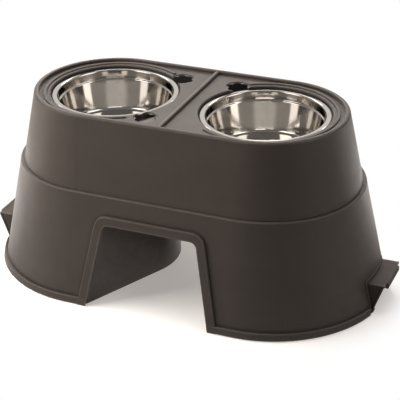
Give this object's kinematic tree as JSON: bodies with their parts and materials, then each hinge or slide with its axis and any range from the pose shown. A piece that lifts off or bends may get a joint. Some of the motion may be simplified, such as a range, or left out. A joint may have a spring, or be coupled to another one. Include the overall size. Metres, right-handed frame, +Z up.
{
  "type": "elevated pet bowl",
  "caption": "Raised pet feeder: a tapered stand with arches front and back, hand grips at the ends and round steel bowls that lift out of its deck.",
  "frame": {"origin": "on the floor, at the middle of the footprint", "axes": "+X along the row of bowls, towards the right bowl; +Z up; the front with its arch faces -Y"},
  "size_m": [0.6992, 0.3844, 0.305],
  "materials": {
    "shell_plastic": "fine matte moulded grain",
    "grip_plastic": "fine matte moulded grain",
    "bowl_steel": "polished stainless steel",
    "screw_steel": "bright zinc plate",
    "foot_rubber": "matte"
  },
  "bodies": {
    "stand": {"deck_shell": "shell_plastic", "deck_plate_left": "shell_plastic", "deck_plate_right": "shell_plastic", "base_skirt": "shell_plastic", "passage_roof": "shell_plastic", "column_wall_left": "shell_plastic", "column_wall_right": "shell_plastic", "grip_left": "grip_plastic", "grip_right": "grip_plastic", "shell_screws": "screw_steel", "foot_front_left": "foot_rubber", "foot_back_left": "foot_rubber", "foot_front_right": "foot_rubber", "foot_back_right": "foot_rubber"},
    "left_bowl": {"bowl_left": "bowl_steel"},
    "right_bowl": {"bowl_right": "bowl_steel"}
  },
  "joints": [
    {"name": "left_bowl_lift", "type": "slide", "parent": "stand", "child": "left_bowl", "axis": [0, 0, 1], "range_m": [0, 0.12]},
    {"name": "right_bowl_lift", "type": "slide", "parent": "stand", "child": "right_bowl", "axis": [0, 0, 1], "range_m": [0, 0.12]}
  ]
}
